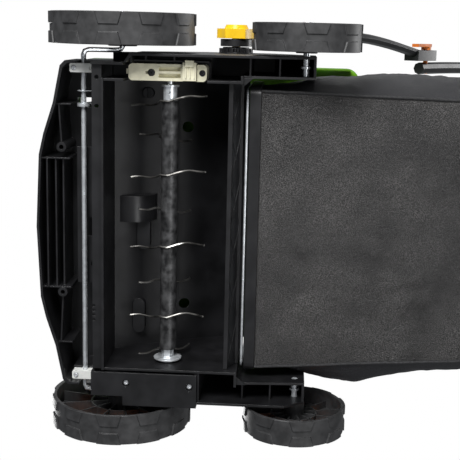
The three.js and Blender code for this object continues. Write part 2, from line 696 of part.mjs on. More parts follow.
function depthKnob() {
  const z = LEVER_LENGTH;
  const body = alongX(roundedRect(-10, 10, z - 14, z + 12, 6), LEVER_X - 7, LEVER_X + 7);
  return body.subtract(block(LEVER_X - 2.4, LEVER_X + 2.4, -6.4, 6.4, z - 16, z + GAP));
}

// ---------------------------------------------------------------- wheels

function hubCap(spec, side) {
  const { radius, width, x, y } = spec;
  const at = (depth) => side * (x - width / 2 + depth);
  const r = radius * 0.8 * 0.97;
  return turned([[5.6, at(width - 9.6)], [r, at(width - 9.6)], [r, at(width - 1)],
    [r - 4, at(width - 1)], [r - 7, at(width - 6)], [radius * 0.32, at(width - 4)],
    [radius * 0.24, at(width - 0.5)], [5.6, at(width - 0.5)]], y, radius, 16);
}

// Tread wheel: two rings of lugs, half a pitch apart, round a ribbed web and a hub sleeve.
function wheel(spec, side) {
  const { radius, width, x, y, lugs } = spec;
  const z = radius;
  const inner = side * (x - width / 2);
  const at = (depth) => inner + side * depth;
  const tread = radius - 2.2;
  const barrel = radius * 0.8;
  const lugRing = (from, to, phase) => {
    const outline = [];
    for (let i = 0; i < 2 * lugs; i += 1) {
      const r = i % 2 === 0 ? radius : tread;
      for (const shift of [-0.4, 0.4]) {
        const turn = (Math.PI * (i + phase + shift)) / lugs - Math.PI / 2;
        outline.push([y + r * Math.cos(turn), z + r * Math.sin(turn)]);
      }
    }
    return alongX(outline, from, to);
  };
  const rim = join([lugRing(inner, at(width / 2), 0.4), lugRing(at(width / 2), at(width), 1.4)]);
  const hollow = [bar('x', barrel, at(-1), at(width - 13), [y, z], 2 * lugs),
    bar('x', barrel, at(width - 10), at(width + 1), [y, z], 2 * lugs),
    bar('x', 6.4, at(-4), at(width + 1), [y, z], 12)];
  const sleeve = turned([[6.4, at(-2.6)], [radius * 0.2, at(-2.6)],
    [radius * 0.2, at(width - 12)], [6.4, at(width - 12)]], y, z, 16);
  const pieces = [cut(rim, hollow), sleeve];
  const spokes = 6;
  const windows = [];
  for (let i = 0; i < spokes; i += 1) {
    const turn = (2 * Math.PI * i) / spokes;
    const rib = block(at(9), at(width - 12), y - 1.2, y + 1.2, z + radius * 0.18, z + barrel + 1);
    pieces.push(turnedAbout(rib, y, z, turn + Math.PI / spokes));
    const window = block(at(width - 15), at(width - 8), y - radius * 0.15, y + radius * 0.15,
      z + radius * 0.56, z + radius * 0.74);
    windows.push(turnedAbout(window, y, z, turn));
  }
  return cut(join(pieces), windows);
}

function rearAxle(side) {
  const { y, radius, x } = REAR_WHEEL;
  const rod = bar('x', 4, side * (POD_INNER + 0.5), side * (x + 10), [y, radius], 20);
  const ring = bar('x', 6.6, side * 200.5, side * 203, [y, radius], 20);
  return rod.add(ring);
}

// ---------------------------------------------------------------- handle

const ROSETTE_X = DECK_HALF + 0.6;

// Toothed ring that the handle's foot is clamped against.
function handleRosette(side) {
  const { pivotY: y, pivotZ: z } = HANDLE;
  const teeth = 18;
  const outline = [];
  for (let i = 0; i < 2 * teeth; i += 1) {
    const r = i % 2 === 0 ? 21.5 : 18.6;
    for (const shift of [-0.32, 0.32]) {
      const turn = (Math.PI * (i + shift)) / teeth;
      outline.push([y + r * Math.cos(turn), z + r * Math.sin(turn)]);
    }
  }
  const ring = alongX(outline, side * (ROSETTE_X - 1), side * (ROSETTE_X + 5.4));
  const face = bar('x', 17, side * (ROSETTE_X + 5), side * (ROSETTE_X + 7), [y, z], 20);
  return ring.add(face);
}

const FOOT_X = ROSETTE_X + 8;
const TUBE_START = 30;

// Moulded foot of the lower tube: disc on the rosette, and a socket round the tube's end.
function handleFoot(side) {
  const { pivotY: y, pivotZ: z } = HANDLE;
  const x0 = side * FOOT_X;
  const disc = turned([[6, x0], [20, x0], [20, x0 + side * 9], [6, x0 + side * 9]], y, z, 24);
  const socket = alongX([[y - 13, z + 14], [y + 13, z + 14], [y + 15, z + 62], [y - 15, z + 62]],
    x0, x0 + side * 17);
  const round = bar('x', 27, side * (FOOT_X + 9), side * (FOOT_X + 24), [y, z], 24);
  return disc.add(turnedAbout(socket, y, z, rad(HANDLE.tilt - 90)).subtract(round));
}

// Point at distance s along the handle's line from the pivot, at lateral place x.
function onHandle(side, s, x) {
  const c = Math.cos(rad(HANDLE.tilt));
  const k = Math.sin(rad(HANDLE.tilt));
  return [side * x, HANDLE.pivotY + s * c, HANDLE.pivotZ + s * k];
}

function lowerTubePath(side, start) {
  const stations = [[start, 233], [80, 235.5], [160, 237.5], [240, HANDLE.x], [292, 236],
    [340, 230.5], [385, 223.5], [430, 215.5], [HANDLE.lower - 8, 210]];
  return stations.map(([s, x]) => onHandle(side, s, x));
}

function lowerArm(side) {
  return handleFoot(side).add(sweep(lowerTubePath(side, TUBE_START), TUBE.across, TUBE.deep, 16, 8));
}

function starKnob(side) {
  const { pivotY: y, pivotZ: z } = HANDLE;
  const points = [];
  const lobes = 6;
  const steps = 24;
  for (let i = 0; i < steps; i += 1) {
    const turn = (2 * Math.PI * i) / steps;
    const r = 22.5 + 2.2 * Math.cos(lobes * turn);
    points.push([y + r * Math.cos(turn), z + r * Math.sin(turn)]);
  }
  const x0 = FOOT_X + 9 + GAP + 0.6;
  const grip = alongX(points, side * x0, side * (x0 + 12));
  const cap = turned([[0, side * (x0 + 11)], [16, side * (x0 + 11)], [13, side * (x0 + 17)],
    [0, side * (x0 + 17)]], y, z, 20);
  const stem = bar('x', 5.4, side * (ROSETTE_X - 4), side * (x0 + 1), [y, z], 20);
  return join([grip, cap, stem]);
}

const FOLD_S = HANDLE.lower;

// Two-cheek hinge block at the top of the lower tube.
function foldClamp(side) {
  const [, y, z] = onHandle(side, FOLD_S, 0);
  const x0 = 202.4;
  const x1 = 219;
  const outline = [[-13, -44], [13, -44], [15, -8], [14, 10], [0, 16], [-14, 10], [-15, -8]];
  const body = alongX(outline, side * x0, side * x1);
  const geometry = toGeometry(body);
  geometry.rotateX(rad(HANDLE.tilt - 90));
  geometry.translate(0, y, z);
  const bore = sweep(lowerTubePath(side, TUBE_START), TUBE.across + GAP, TUBE.deep + GAP, 16, 8);
  return cut(toSolid(geometry), [bore, bar('x', 4.2, side * (x0 - 1), side * (x1 + 1), [y, z], 12)]);
}

function foldBolt(side) {
  const [, y, z] = onHandle(side, FOLD_S, 0);
  const shank = bar('x', 3.8, side * 181, side * 219.4, [y, z], 16);
  const head = bar('x', 8, side * 219.4, side * 224.5, [y, z], 14);
  const lever = alongX([[-6, -34], [6, -34], [8, 4], [0, 8], [-8, 4]], side * 224, side * 229);
  const geometry = toGeometry(lever);
  geometry.rotateX(rad(HANDLE.tilt - 90));
  geometry.translate(0, y, z);
  return join([shank, head, toSolid(geometry)]);
}

// Route of the U-shaped upper tube, from the left fold pivot round to the right one.
function upperRoute() {
  const x = HANDLE.upperX;
  const end = HANDLE.lower + HANDLE.upper;
  const half = [[FOLD_S - 20, x], [FOLD_S + 60, x], [FOLD_S + 180, x - 2], [FOLD_S + 300, x - 6],
    [FOLD_S + 420, x - 10], [end - 90, x - 13], [end - 50, x - 20], [end - 18, x - 42],
    [end, x - 80], [end + 3, x - 130]];
  const left = half.map(([s, w]) => onHandle(1, s, w));
  const right = half.map(([s, w]) => onHandle(-1, s, w)).reverse();
  return [...left, onHandle(1, end + 4, 0), ...right];
}

function upperTube(radius) {
  return sweep(upperRoute(), radius, radius, 44, 8);
}

function upperHandle() {
  const [, y, z] = onHandle(1, FOLD_S, 0);
  return cut(upperTube(9.5), [bar('x', 4.2, -230, 230, [y, z], 12)]);
}

function handleGrip() {
  const end = HANDLE.lower + HANDLE.upper;
  const [, y, z] = onHandle(1, end + 3.7, 0);
  return turned([[11, -84], [15, -84], [15.6, -50], [15.6, 50], [15, 84], [11, 84]], y, z, 20);
}

function turnedToHandle(solid) {
  const geometry = toGeometry(solid);
  geometry.rotateX(rad(HANDLE.tilt - 90));
  geometry.translate(0, HANDLE.pivotY, HANDLE.pivotZ);
  return toSolid(geometry);
}

// The switch box clips to the right arm of the handle, below its bend. It is drawn upright, with
// the handle's line along Z, and then leaned back with the handle.
const SWITCH_S = HANDLE.lower + HANDLE.upper - 128;

function switchBox() {
  const shape = alongX([[-20, SWITCH_S - 52], [22, SWITCH_S - 52], [30, SWITCH_S - 30],
    [30, SWITCH_S + 34], [18, SWITCH_S + 46], [-20, SWITCH_S + 46]], -196, -158);
  const tools = [
    block(-198, -156, -8, 9, SWITCH_S + 47, SWITCH_S + 60),
    bar('y', 9.2, -32, -8, [-178, SWITCH_S + 22], 24),
    block(-160.6, -150, 2, 19, SWITCH_S - 12, SWITCH_S + 12),
  ];
  return cut(turnedToHandle(cut(shape, tools)), [upperTube(9.9)]);
}

// Bracket on the left arm, where the bail's free end turns.
function bailBracket() {
  const s = SWITCH_S;
  const body = alongX([[-14, s - 18], [20, s - 18], [20, s + 18], [-14, s + 18]], 166, 192);
  return cut(turnedToHandle(body), [upperTube(9.9)]);
}

// Sprung bar that is squeezed against the grip to run the motor.
function switchBail() {
  const s = SWITCH_S;
  const end = HANDLE.lower + HANDLE.upper;
  const points = [[-160, 10.5, s], [-150, 10.5, s + 1], [-140, 13, s + 16], [-132, 26, s + 60],
    [-124, 39, end - 30], [-108, 46, end - 6], [-80, 47.5, end + 3], [0, 48, end + 5],
    [80, 47.5, end + 3], [108, 46, end - 6], [124, 39, end - 30], [132, 26, s + 60],
    [141, 13, s + 16], [152, 10.5, s + 1], [165, 10.5, s]];
  return turnedToHandle(sweep(points, 3.6, 3.6, 34, 5));
}

function safetyButton() {
  const cap = bar('y', 8.6, -26, -15, [-178, SWITCH_S + 22], 24);
  return turnedToHandle(cap);
}

// ---------------------------------------------------------------- lid and bag

function rearLid() {
  const { pivotY: y, pivotZ: z, half, rear, thick } = LID;
  const top = [[y + 5, z - 2], [y + 5, z + 3], [40, z + 5], [100, z + 2], [rear - 8, z - 3],
    [rear, z - 9], [rear, z - 9 - thick], [rear - 10, z - 5 - thick], [100, z - thick + 1],
    [40, z - thick + 3]];
  const plate = alongX(top, -half, half);
  const outline = alongZ(roundedRect(-half, half, y - 10, rear, 16), 150, 260);
  const sheet = common([plate, outline]);
  const rims = [];
  for (const side of [1, -1]) {
    rims.push(alongX([[6, z - 16], [rear - 12, z - 20], [rear - 12, z - 8], [6, z + 2]],
      side * (half - 3), side * (half - 0.2)));
    rims.push(bar('x', 4.5, side * 60, side * 110, [y, z], 16));
    rims.push(block(side * 60, side * 110, y, y + 8, z - 2.6, z + 2.6));
  }
  const solid = join([sheet, ...rims]).intersect(outline);
  return cut(solid, [bar('x', 2.3, -140, 140, [y, z], 14)]);
}

// Two ears for the lid's pin, on a foot at the rear edge of the chamber's roof.
function lidHinge(side) {
  const { pivotY: y, pivotZ: z } = LID;
  const pieces = [block(side * 54, side * 116, y - 4, y + 4, 186, 196)];
  for (const x of [56, 114]) {
    pieces.push(bar('x', 4.4, side * x - 2, side * x + 2, [y, z], 10));
    pieces.push(block(side * x - 2, side * x + 2, y - 4, y + 4, 192.6, z));
  }
  return cut(join(pieces), [bar('x', 2.1, side * 50, side * 120, [y, z], 8)]);
}

function lidPin() {
  return bar('x', 1.9, -121, 121, [LID.pivotY, LID.pivotZ], 12);
}

// The bag's outline across the machine, at one station along Y.
const BAG_STATIONS = [
  { y: BAG.front, half: 179, low: 60, high: 188 },
  { y: 84, half: 181, low: 68, high: 190 },
  { y: 100, half: 188, low: 70, high: 191 },
  { y: 150, half: 192, low: 77, high: 192 },
  { y: 190, half: 192, low: 81, high: 226 },
  { y: 260, half: 190, low: 88, high: 230 },
  { y: 360, half: 182, low: 104, high: 232 },
  { y: BAG.rear, half: 165, low: 128, high: 214 },
];

function bagLoft(inset, extra) {
  const sections = BAG_STATIONS.map(({ y, half, low, high }, i) => {
    const last = i === BAG_STATIONS.length - 1;
    const yy = i === 0 ? y - extra : y - (last ? inset : 0);
    return { y: yy, half: half - inset, low: low + inset, high: high - inset };
  });
  const slices = [];
  for (let i = 0; i + 1 < sections.length; i += 1) {
    slices.push(hullBetween(sections[i], sections[i + 1]));
  }
  return join(slices);
}

// A straight-sided slice between two chamfered rectangles.
function hullBetween(a, b) {
  const corner = 22;
  const ring = ({ y, half, low, high }) => [
    [half - corner, y, low], [half, y, low + corner], [half, y, high - corner],
    [half - corner, y, high], [-half + corner, y, high], [-half, y, high - corner],
    [-half, y, low + corner], [-half + corner, y, low]];
  const points = [...ring(a), ...ring(b)];
  const n = 8;
  const index = [];
  for (let i = 0; i < n; i += 1) {
    const j = (i + 1) % n;
    index.push(i, j, n + j, i, n + j, n + i);
  }
  for (let i = 1; i + 1 < n; i += 1) {
    index.push(0, i + 1, i, n, n + i, n + i + 1);
  }
  const geometry = new THREE.BufferGeometry();
  geometry.setAttribute('position', new THREE.Float32BufferAttribute(points.flat(), 3));
  geometry.setIndex(index);
  return toSolid(geometry);
}

function bagBody() {
  return cut(bagLoft(0, 0), [bagLoft(BAG.wall, 2)]);
}

// Wire loop that stiffens the bag's mouth and hooks onto the machine.
function bagWire() {
  const outer = roundedRect(-176, 178, 60, 188, 8);
  const hole = roundedRect(-172, 174, 64, 184, 5);
  return cut(alongY(outer, 2.4, 6.4), [alongY(hole, 1, 8)]);
}

function bagCollar() {
  const y0 = 7.4;
  const y1 = BAG.front - GAP;
  const outer = roundedRect(-179, 179, 57, 189, 12);
  const hole = roundedRect(-168, 168, 68, 179, 8);
  return cut(alongY(outer, y0, y1), [alongY(hole, y0 - 1, y1 + 1)]);
}

// Carrying handle on the bag's top.
function bagHandle() {
  const outer = roundedRect(-66, 66, 228.4, 262, 14);
  const hole = roundedRect(-54, 54, 214, 251, 8);
  return cut(alongY(outer, 202, 220), [alongY(hole, 200, 222)]);
}

// ---------------------------------------------------------------- assembly

place('deck_shell', deckShell(), 'black');
place('rear_lattice', rearLattice(), 'black');
place('front_nose', frontNose(), 'black');
place('hood', hood(), 'lime');
place('vent_grille', ventGrille(), 'black');
place('belt_cover', beltCover(), 'black');

place('motor', motor(), 'steel');
place('motor_pulley', motorPulley(), 'zinc');
place('drive_belt', driveBelt(), 'rubber');
place('rotor_pulley', pulley(PULLEY.rotorRadius, ROTOR.y, ROTOR.z, 6.3), 'black');

place('rotor_tube', rotorTube(), 'tubeSteel');
place('rotor_ferrule', rotorFerrule(), 'zinc');
place('rotor_drive_end', rotorDriveEnd(), 'zinc');
for (let i = 0; i < TINE.count; i += 1) {
  place(`tine_${i + 1}`, tine(i), 'steel');
}
place('bearing_block', bearingBlock(), 'cream');
place('bearing_latch', bearingLatch(), 'cream');

place('front_axle', crankAxle(), 'zinc');
place('axle_spring', axleSpring(), 'zinc');
const lever = new THREE.Group();
lever.position.set(0, AXLE.pivotY, AXLE.pivotZ);
lever.rotation.x = -rad(LEVER_LEAN);
machine.add(lever);
place('depth_lever', depthLever(), 'zinc', lever);
place('depth_knob', depthKnob(), 'black', lever);

for (const [side, word] of [[1, 'left'], [-1, 'right']]) {
  place(`axle_clamp_${word}`, axleClamp(side), 'white');
  place(`front_wheel_${word}`, wheel(FRONT_WHEEL, side, 12), 'charcoal');
  place(`front_hubcap_${word}`, hubCap(FRONT_WHEEL, side), 'orange');
  place(`rear_wheel_${word}`, wheel(REAR_WHEEL, side, 9), 'charcoal');
  place(`rear_hubcap_${word}`, hubCap(REAR_WHEEL, side), 'orange');
  place(`rear_axle_${word}`, rearAxle(side), 'zinc');
  place(`handle_knob_${word}`, starKnob(side), 'yellow');
  place(`lower_tube_${word}`, lowerArm(side), 'painted');
  place(`fold_clamp_${word}`, foldClamp(side), 'black');
  place(`fold_lever_${word}`, foldBolt(side), 'orange');
}
place('upper_handle', upperHandle(), 'painted');
place('handle_grip', handleGrip(), 'rubber');
place('switch_box', switchBox(), 'black');
place('safety_button', safetyButton(), 'orange');
place('switch_bail', switchBail(), 'orange');
place('bail_bracket', bailBracket(), 'black');

place('rear_lid', rearLid(), 'lime');
place('lid_pin', lidPin(), 'zinc');
place('bag_wire', bagWire(), 'zinc');
place('bag_collar', bagCollar(), 'black');
place('bag_body', bagBody(), 'fabric');
place('bag_handle', bagHandle(), 'black');

export default machine;
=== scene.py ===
"""Looks of the electric lawn raker. Metres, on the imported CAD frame: front towards -Y, +Z up."""

import json
import math

import bmesh
import bpy
from mathutils import Matrix, Vector, noise


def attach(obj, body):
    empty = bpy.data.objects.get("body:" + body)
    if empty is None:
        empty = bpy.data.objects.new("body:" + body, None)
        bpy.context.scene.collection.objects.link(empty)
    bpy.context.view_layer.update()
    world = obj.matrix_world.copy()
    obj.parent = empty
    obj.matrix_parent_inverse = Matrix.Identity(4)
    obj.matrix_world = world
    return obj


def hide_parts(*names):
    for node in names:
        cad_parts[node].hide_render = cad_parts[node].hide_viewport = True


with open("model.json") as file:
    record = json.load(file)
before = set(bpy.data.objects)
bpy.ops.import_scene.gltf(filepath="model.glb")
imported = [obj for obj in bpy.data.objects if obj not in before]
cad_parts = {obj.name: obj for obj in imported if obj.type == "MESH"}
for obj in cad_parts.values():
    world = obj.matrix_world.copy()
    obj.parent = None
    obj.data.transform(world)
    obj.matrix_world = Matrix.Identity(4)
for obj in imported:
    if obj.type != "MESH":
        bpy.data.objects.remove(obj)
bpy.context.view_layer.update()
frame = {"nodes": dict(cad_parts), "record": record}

# ------------------------------------------------------------ measurements
# Millimetres, unless a comment says metres. Places along Y are from the deck's own datum, the rear wall
# of the rotor chamber, which is CENTRE_Y in front of the frame's origin.

CENTRE_Y = 211.03

# Wheels. A lug's base and tip are shares of the pitch between lugs, its reach is a share of the
# wheel's width, and its offset is the share of a pitch by which the first lug is turned.
FRONT_WHEEL = {"radius": 90, "width": 38, "x": 243, "y": -152, "lugs": 11}
REAR_WHEEL = {"radius": 65.5, "width": 33, "x": 237.5, "y": 73, "lugs": 8}
LUG_DEPTH = 1.7
LUG_BASE = 0.6
LUG_TIP = 0.43
LUG_REACH = 0.37
LUG_STEPS = 6
LUG_OFFSET = 0.2
RIM_THICK = 5.5
TREAD_CHAMFER = 0.8
BARREL_CHAMFER = 0.7
SPOKES = 6
SPOKE_HALF = 0.9
BAND_HALF = 4
WEB_THICK = 2.2
RIB_INSET = 12
HUB_BORE = 6.4
HUB_PROUD = 2.4

# Radii on the wheel's inner face, as shares of the wheel's radius.
HUB_SHARE = 0.2
RING_SHARE = 0.44
WINDOW_SHARE = 0.76
BAND_SHARES = (0.42, 0.85)

# The bag's sections, front to rear: where along Y, half the bottom panel's width, half the widest
# width, and the heights of the bottom and of the top.
BAG_SECTIONS = [
    (21, 173, 177, 60, 187),
    (60, 172, 179, 65, 188),
    (100, 171, 187, 70, 190),
    (150, 169, 191, 77, 192),
    (190, 168, 192, 82, 222),
    (260, 166, 190, 89, 229),
    (340, 163, 184, 100, 231),
    (400, 158, 168, 126, 212),
]
BAG_LENGTH = (21, 400)
BAG_STEPS = 96
BOTTOM_STEPS = 64
SIDE_STEPS = 28
TOP_STEPS = 48
REAR_STEPS = (16, 40)

# The side bands: the share of the height at which the belly is widest, how far the band pulls in above
# it, and the slack cloth, which has gathered about one place along Y.
BELLY_TURN = 0.3
SHOULDER = 9
SLACK_RIGHT = 13
SLACK_LEFT = 2
SLACK_Y = 140
SLACK_SPREAD = 62
TOP_SAG = 9
PIPING_RADIUS = 1.9

# The wire frame of the bag's mouth: half its width, its heights, its corner and wire radii, its place.
MOUTH = {"half": 174, "low": 62, "high": 186, "corner": 9, "wire": 1.6, "y": 4.4}

# Screws seen from below: where the head meets its surface, its radius and height, its recess and look.
SCREWS = [
    ("cover_screw_front", (-190, -137, 30.4), 3.4, 2.2, 1.1, "screw_head"),
    ("cover_screw_rear", (-192, -58, 30.4), 3.4, 2.2, 1.1, "screw_head"),
    ("clamp_screw_left", (195, -207.5, 63.4), 3.0, 2.2, 1.1, "screw_head"),
    ("clamp_screw_right", (-195, -207.5, 63.4), 3.0, 2.2, 1.1, "screw_head"),
    ("bearing_bolt", (192, -111, 53.0), 4.3, 4.4, 1.6, "dark_bolt"),
    ("bearing_screw", (192.5, -50, 51.8), 3.7, 1.8, 1.1, "dark_bolt"),
]
SCREW_SIDES = 24

# The wheel nuts: the flange's radius and thickness, the hexagon's corner radius, where it starts and
# ends, and how far the flange sits in the wheel's hub.
NUT = {"flange": 8.2, "flange_thick": 1.2, "corner": 6.2, "low": 1.0, "high": 1.9, "sunk": 0.4}

# Where the camera stands in metres, how it is turned, and its lens for a 36 mm wide sensor.
CAMERA_PLACE = (0.24334, -0.15657, -1.14223)
CAMERA_RIGHT = (0.02269, 0.99789, 0.06083)
CAMERA_DOWN = (-0.98024, 0.03417, -0.19482)
CAMERA_FORWARD = (-0.19649, -0.05521, 0.97895)
CAMERA_LENS = 77.93

# Area lamps in metres and watts: place, target, size, power. The first two light the underside.
LAMPS = [
    ("under_key", (1.25, -0.55, -1.0), (0.0, -0.15, 0.1), 0.7, 34),
    ("under_fill", (-0.2, 0.75, -1.5), (0.0, 0.1, 0.1), 0.8, 9),
    ("over_key", (-1.4, -1.6, 2.6), (0, 0, 0.3), 1.4, 62),
    ("over_fill", (2.2, -0.4, 1.9), (0, 0, 0.3), 1.6, 30),
    ("over_back", (0.6, 2.4, 2.0), (0, 0, 0.4), 1.4, 32),
]

# The floor in metres, a hair below the wheels, and the strength of the light from all round.
FLOOR_SIZE = 60
FLOOR_DROP = 0.0005
WORLD_GLOW = 0.22

# Edges of the CAD nodes that bend by more than this angle stay sharp.
SHARP_BEND = math.radians(33)


def at(x, y, z):
    """A point of the machine in millimetres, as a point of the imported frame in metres."""
    return Vector((x, y - CENTRE_Y, z)) / 1000


# ------------------------------------------------------------ finishes


def finish(name, color, rough, metal=0.0, tone=(60, 0.3), grain=(800, 0.14, 0.00015),
           rough_spread=0.12, edge=0.0007, coat=0.0, second=None):
    """A moulded, painted or metal surface: uneven tone, uneven gloss, a fine relief, soft edges.

    tone is the scale and the depth of the unevenness, grain the relief's scale, strength and depth,
    edge the radius in metres that the edges are shaded with, and second the other tone."""
    made = bpy.data.materials.new(name)
    made.use_nodes = True
    tree = made.node_tree
    shader = tree.nodes["Principled BSDF"]
    place = tree.nodes.new("ShaderNodeTexCoord").outputs["Object"]

    cloud = tree.nodes.new("ShaderNodeTexNoise")
    cloud.inputs["Scale"].default_value = tone[0]
    cloud.inputs["Detail"].default_value = 6
    tree.links.new(place, cloud.inputs["Vector"])

    shades = tree.nodes.new("ShaderNodeMix")
    shades.data_type = "RGBA"
    other = second or [c * (1 + 2 * tone[1]) for c in color]
    shades.inputs["A"].default_value = (*[c * (1 - tone[1]) for c in color], 1)
    shades.inputs["B"].default_value = (*other, 1)
    spread = tree.nodes.new("ShaderNodeMapRange")
    spread.inputs["From Min"].default_value = 0.36
    spread.inputs["From Max"].default_value = 0.66
    tree.links.new(cloud.outputs["Fac"], spread.inputs["Value"])
    tree.links.new(spread.outputs["Result"], shades.inputs["Factor"])
    tree.links.new(shades.outputs["Result"], shader.inputs["Base Color"])

    gloss = tree.nodes.new("ShaderNodeMapRange")
    gloss.inputs["To Min"].default_value = max(0.05, rough - rough_spread)
    gloss.inputs["To Max"].default_value = min(1.0, rough + rough_spread)
    smudge = tree.nodes.new("ShaderNodeTexNoise")
    smudge.inputs["Scale"].default_value = tone[0] * 0.45
    smudge.inputs["Detail"].default_value = 4
    tree.links.new(place, smudge.inputs["Vector"])
    tree.links.new(smudge.outputs["Fac"], gloss.inputs["Value"])
    tree.links.new(gloss.outputs["Result"], shader.inputs["Roughness"])

    fine = tree.nodes.new("ShaderNodeTexNoise")
    fine.inputs["Scale"].default_value = grain[0]
    fine.inputs["Detail"].default_value = 3
    tree.links.new(place, fine.inputs["Vector"])
    relief = tree.nodes.new("ShaderNodeBump")
    relief.inputs["Strength"].default_value = grain[1]
    relief.inputs["Distance"].default_value = grain[2]
    tree.links.new(fine.outputs["Fac"], relief.inputs["Height"])
    if edge:
        rounding = tree.nodes.new("ShaderNodeBevel")
        rounding.samples = 4
        rounding.inputs["Radius"].default_value = edge
        tree.links.new(rounding.outputs["Normal"], relief.inputs["Normal"])
    tree.links.new(relief.outputs["Normal"], shader.inputs["Normal"])

    shader.inputs["Metallic"].default_value = metal
    shader.inputs["Coat Weight"].default_value = coat
    return made


def bag_cloth(name, dark, light, speckle, rough):
    """Coated bag cloth: a pebbled skin of light and dark specks, with cloudy patches of gloss, and a
    painted sheen that brightens the specks in the same clouds.
    """
    made = bpy.data.materials.new(name)
    made.use_nodes = True
    tree = made.node_tree
    shader = tree.nodes["Principled BSDF"]
    place = tree.nodes.new("ShaderNodeTexCoord").outputs["Object"]

    pebbles = tree.nodes.new("ShaderNodeTexVoronoi")
    pebbles.inputs["Scale"].default_value = speckle
    pebbles.inputs["Randomness"].default_value = 1.0
    grit = tree.nodes.new("ShaderNodeTexNoise")
    grit.inputs["Scale"].default_value = speckle * 0.8
    grit.inputs["Detail"].default_value = 4
    painted_sheen_and_gloss_clouds = tree.nodes.new("ShaderNodeTexNoise")
    painted_sheen_and_gloss_clouds.inputs["Scale"].default_value = 13
    painted_sheen_and_gloss_clouds.inputs["Detail"].default_value = 5
    for texture in (pebbles, grit, painted_sheen_and_gloss_clouds):
        tree.links.new(place, texture.inputs["Vector"])

    contrast = tree.nodes.new("ShaderNodeMapRange")
    contrast.inputs["From Min"].default_value = 0.42
    contrast.inputs["From Max"].default_value = 0.66
    tree.links.new(grit.outputs["Fac"], contrast.inputs["Value"])
    # Painted sheen: in cloudy patches the light specks are painted brighter.
    lift = tree.nodes.new("ShaderNodeMapRange")
    lift.inputs["From Min"].default_value = 0.38
    lift.inputs["From Max"].default_value = 0.62
    lift.inputs["To Min"].default_value = 0.3
    lift.inputs["To Max"].default_value = 1.0
    tree.links.new(painted_sheen_and_gloss_clouds.outputs["Fac"], lift.inputs["Value"])
    amount = tree.nodes.new("ShaderNodeMath")
    amount.operation = "MULTIPLY"
    tree.links.new(contrast.outputs["Result"], amount.inputs[0])
    tree.links.new(lift.outputs["Result"], amount.inputs[1])
    shades = tree.nodes.new("ShaderNodeMix")
    shades.data_type = "RGBA"
    shades.inputs["A"].default_value = (*dark, 1)
    shades.inputs["B"].default_value = (*light, 1)
    tree.links.new(amount.outputs["Value"], shades.inputs["Factor"])
    tree.links.new(shades.outputs["Result"], shader.inputs["Base Color"])

    gloss = tree.nodes.new("ShaderNodeMapRange")
    gloss.inputs["To Min"].default_value = rough - 0.14
    gloss.inputs["To Max"].default_value = rough + 0.14
    tree.links.new(painted_sheen_and_gloss_clouds.outputs["Fac"], gloss.inputs["Value"])
    tree.links.new(gloss.outputs["Result"], shader.inputs["Roughness"])

    relief = tree.nodes.new("ShaderNodeBump")
    relief.inputs["Strength"].default_value = 0.8
    relief.inputs["Distance"].default_value = 0.0012
    tree.links.new(pebbles.outputs["Distance"], relief.inputs["Height"])
    tree.links.new(relief.outputs["Normal"], shader.inputs["Normal"])
    return made


# One finish for each of the frame's slots, then those of the pieces that only the looks have.
FINISH = {
    "black_plastic": finish("moulded_black", (0.010, 0.010, 0.011), 0.37, tone=(35, 0.3)),
    "lime_plastic": finish("glossy_lime", (0.2, 0.5, 0.02), 0.28, tone=(14, 0.03), coat=0.3,
                           rough_spread=0.06, edge=0.004),
    "wheel_plastic": finish("wheel_charcoal", (0.03, 0.03, 0.031), 0.5, tone=(90, 0.25)),
    "orange_plastic": finish("satin_orange", (0.75, 0.19, 0.02), 0.35, tone=(50, 0.1)),
    "yellow_plastic": finish("satin_yellow", (0.95, 0.58, 0.01), 0.3, tone=(50, 0.06)),
    "cream_plastic": finish("natural_nylon", (0.72, 0.69, 0.52), 0.42, tone=(80, 0.08)),
    "white_plastic": finish("white_nylon", (0.84, 0.85, 0.82), 0.4, tone=(80, 0.05)),
    "zinc": finish("zinc_plate", (0.74, 0.77, 0.8), 0.24, metal=0.6, tone=(140, 0.12)),
    "motor_case": finish("motor_lacquer", (0.2, 0.21, 0.22), 0.45, metal=0.3, tone=(60, 0.15)),
    "rotor_steel": finish("phosphated_tube", (0.02, 0.02, 0.021), 0.42, metal=0.3,
                          tone=(110, 0.5), second=(0.085, 0.085, 0.087),
                          grain=(500, 0.5, 0.0005)),
    "tine_steel": finish("spring_wire", (0.07, 0.067, 0.063), 0.34, metal=0.85, tone=(45, 0.55),
                         second=(0.34, 0.33, 0.31), edge=0.0),
    "painted_tube": finish("powder_coat", (0.016, 0.016, 0.017), 0.35, tone=(50, 0.2),
                           grain=(900, 0.14, 0.00015)),
    "rubber": finish("soft_foam", (0.02, 0.02, 0.021), 0.85, tone=(200, 0.4),
                     grain=(700, 0.8, 0.0008), edge=0.0),
    "bag_fabric": bag_cloth("speckled_cloth", (0.014, 0.0135, 0.0135), (0.12, 0.115, 0.112),
                            1000, 0.38),
    "bag_side": bag_cloth("side_cloth", (0.010, 0.010, 0.012), (0.042, 0.042, 0.047),
                          1300, 0.52),
    "bag_tape": finish("woven_tape", (0.02, 0.02, 0.021), 0.7, tone=(500, 0.5),
                       grain=(1500, 0.8, 0.0006), edge=0.0),
    "screw_head": finish("screw_zinc", (0.8, 0.82, 0.85), 0.25, metal=0.5, tone=(300, 0.15)),
    "dark_bolt": finish("dark_bolt", (0.03, 0.03, 0.032), 0.35, metal=0.7, tone=(300, 0.3)),
}


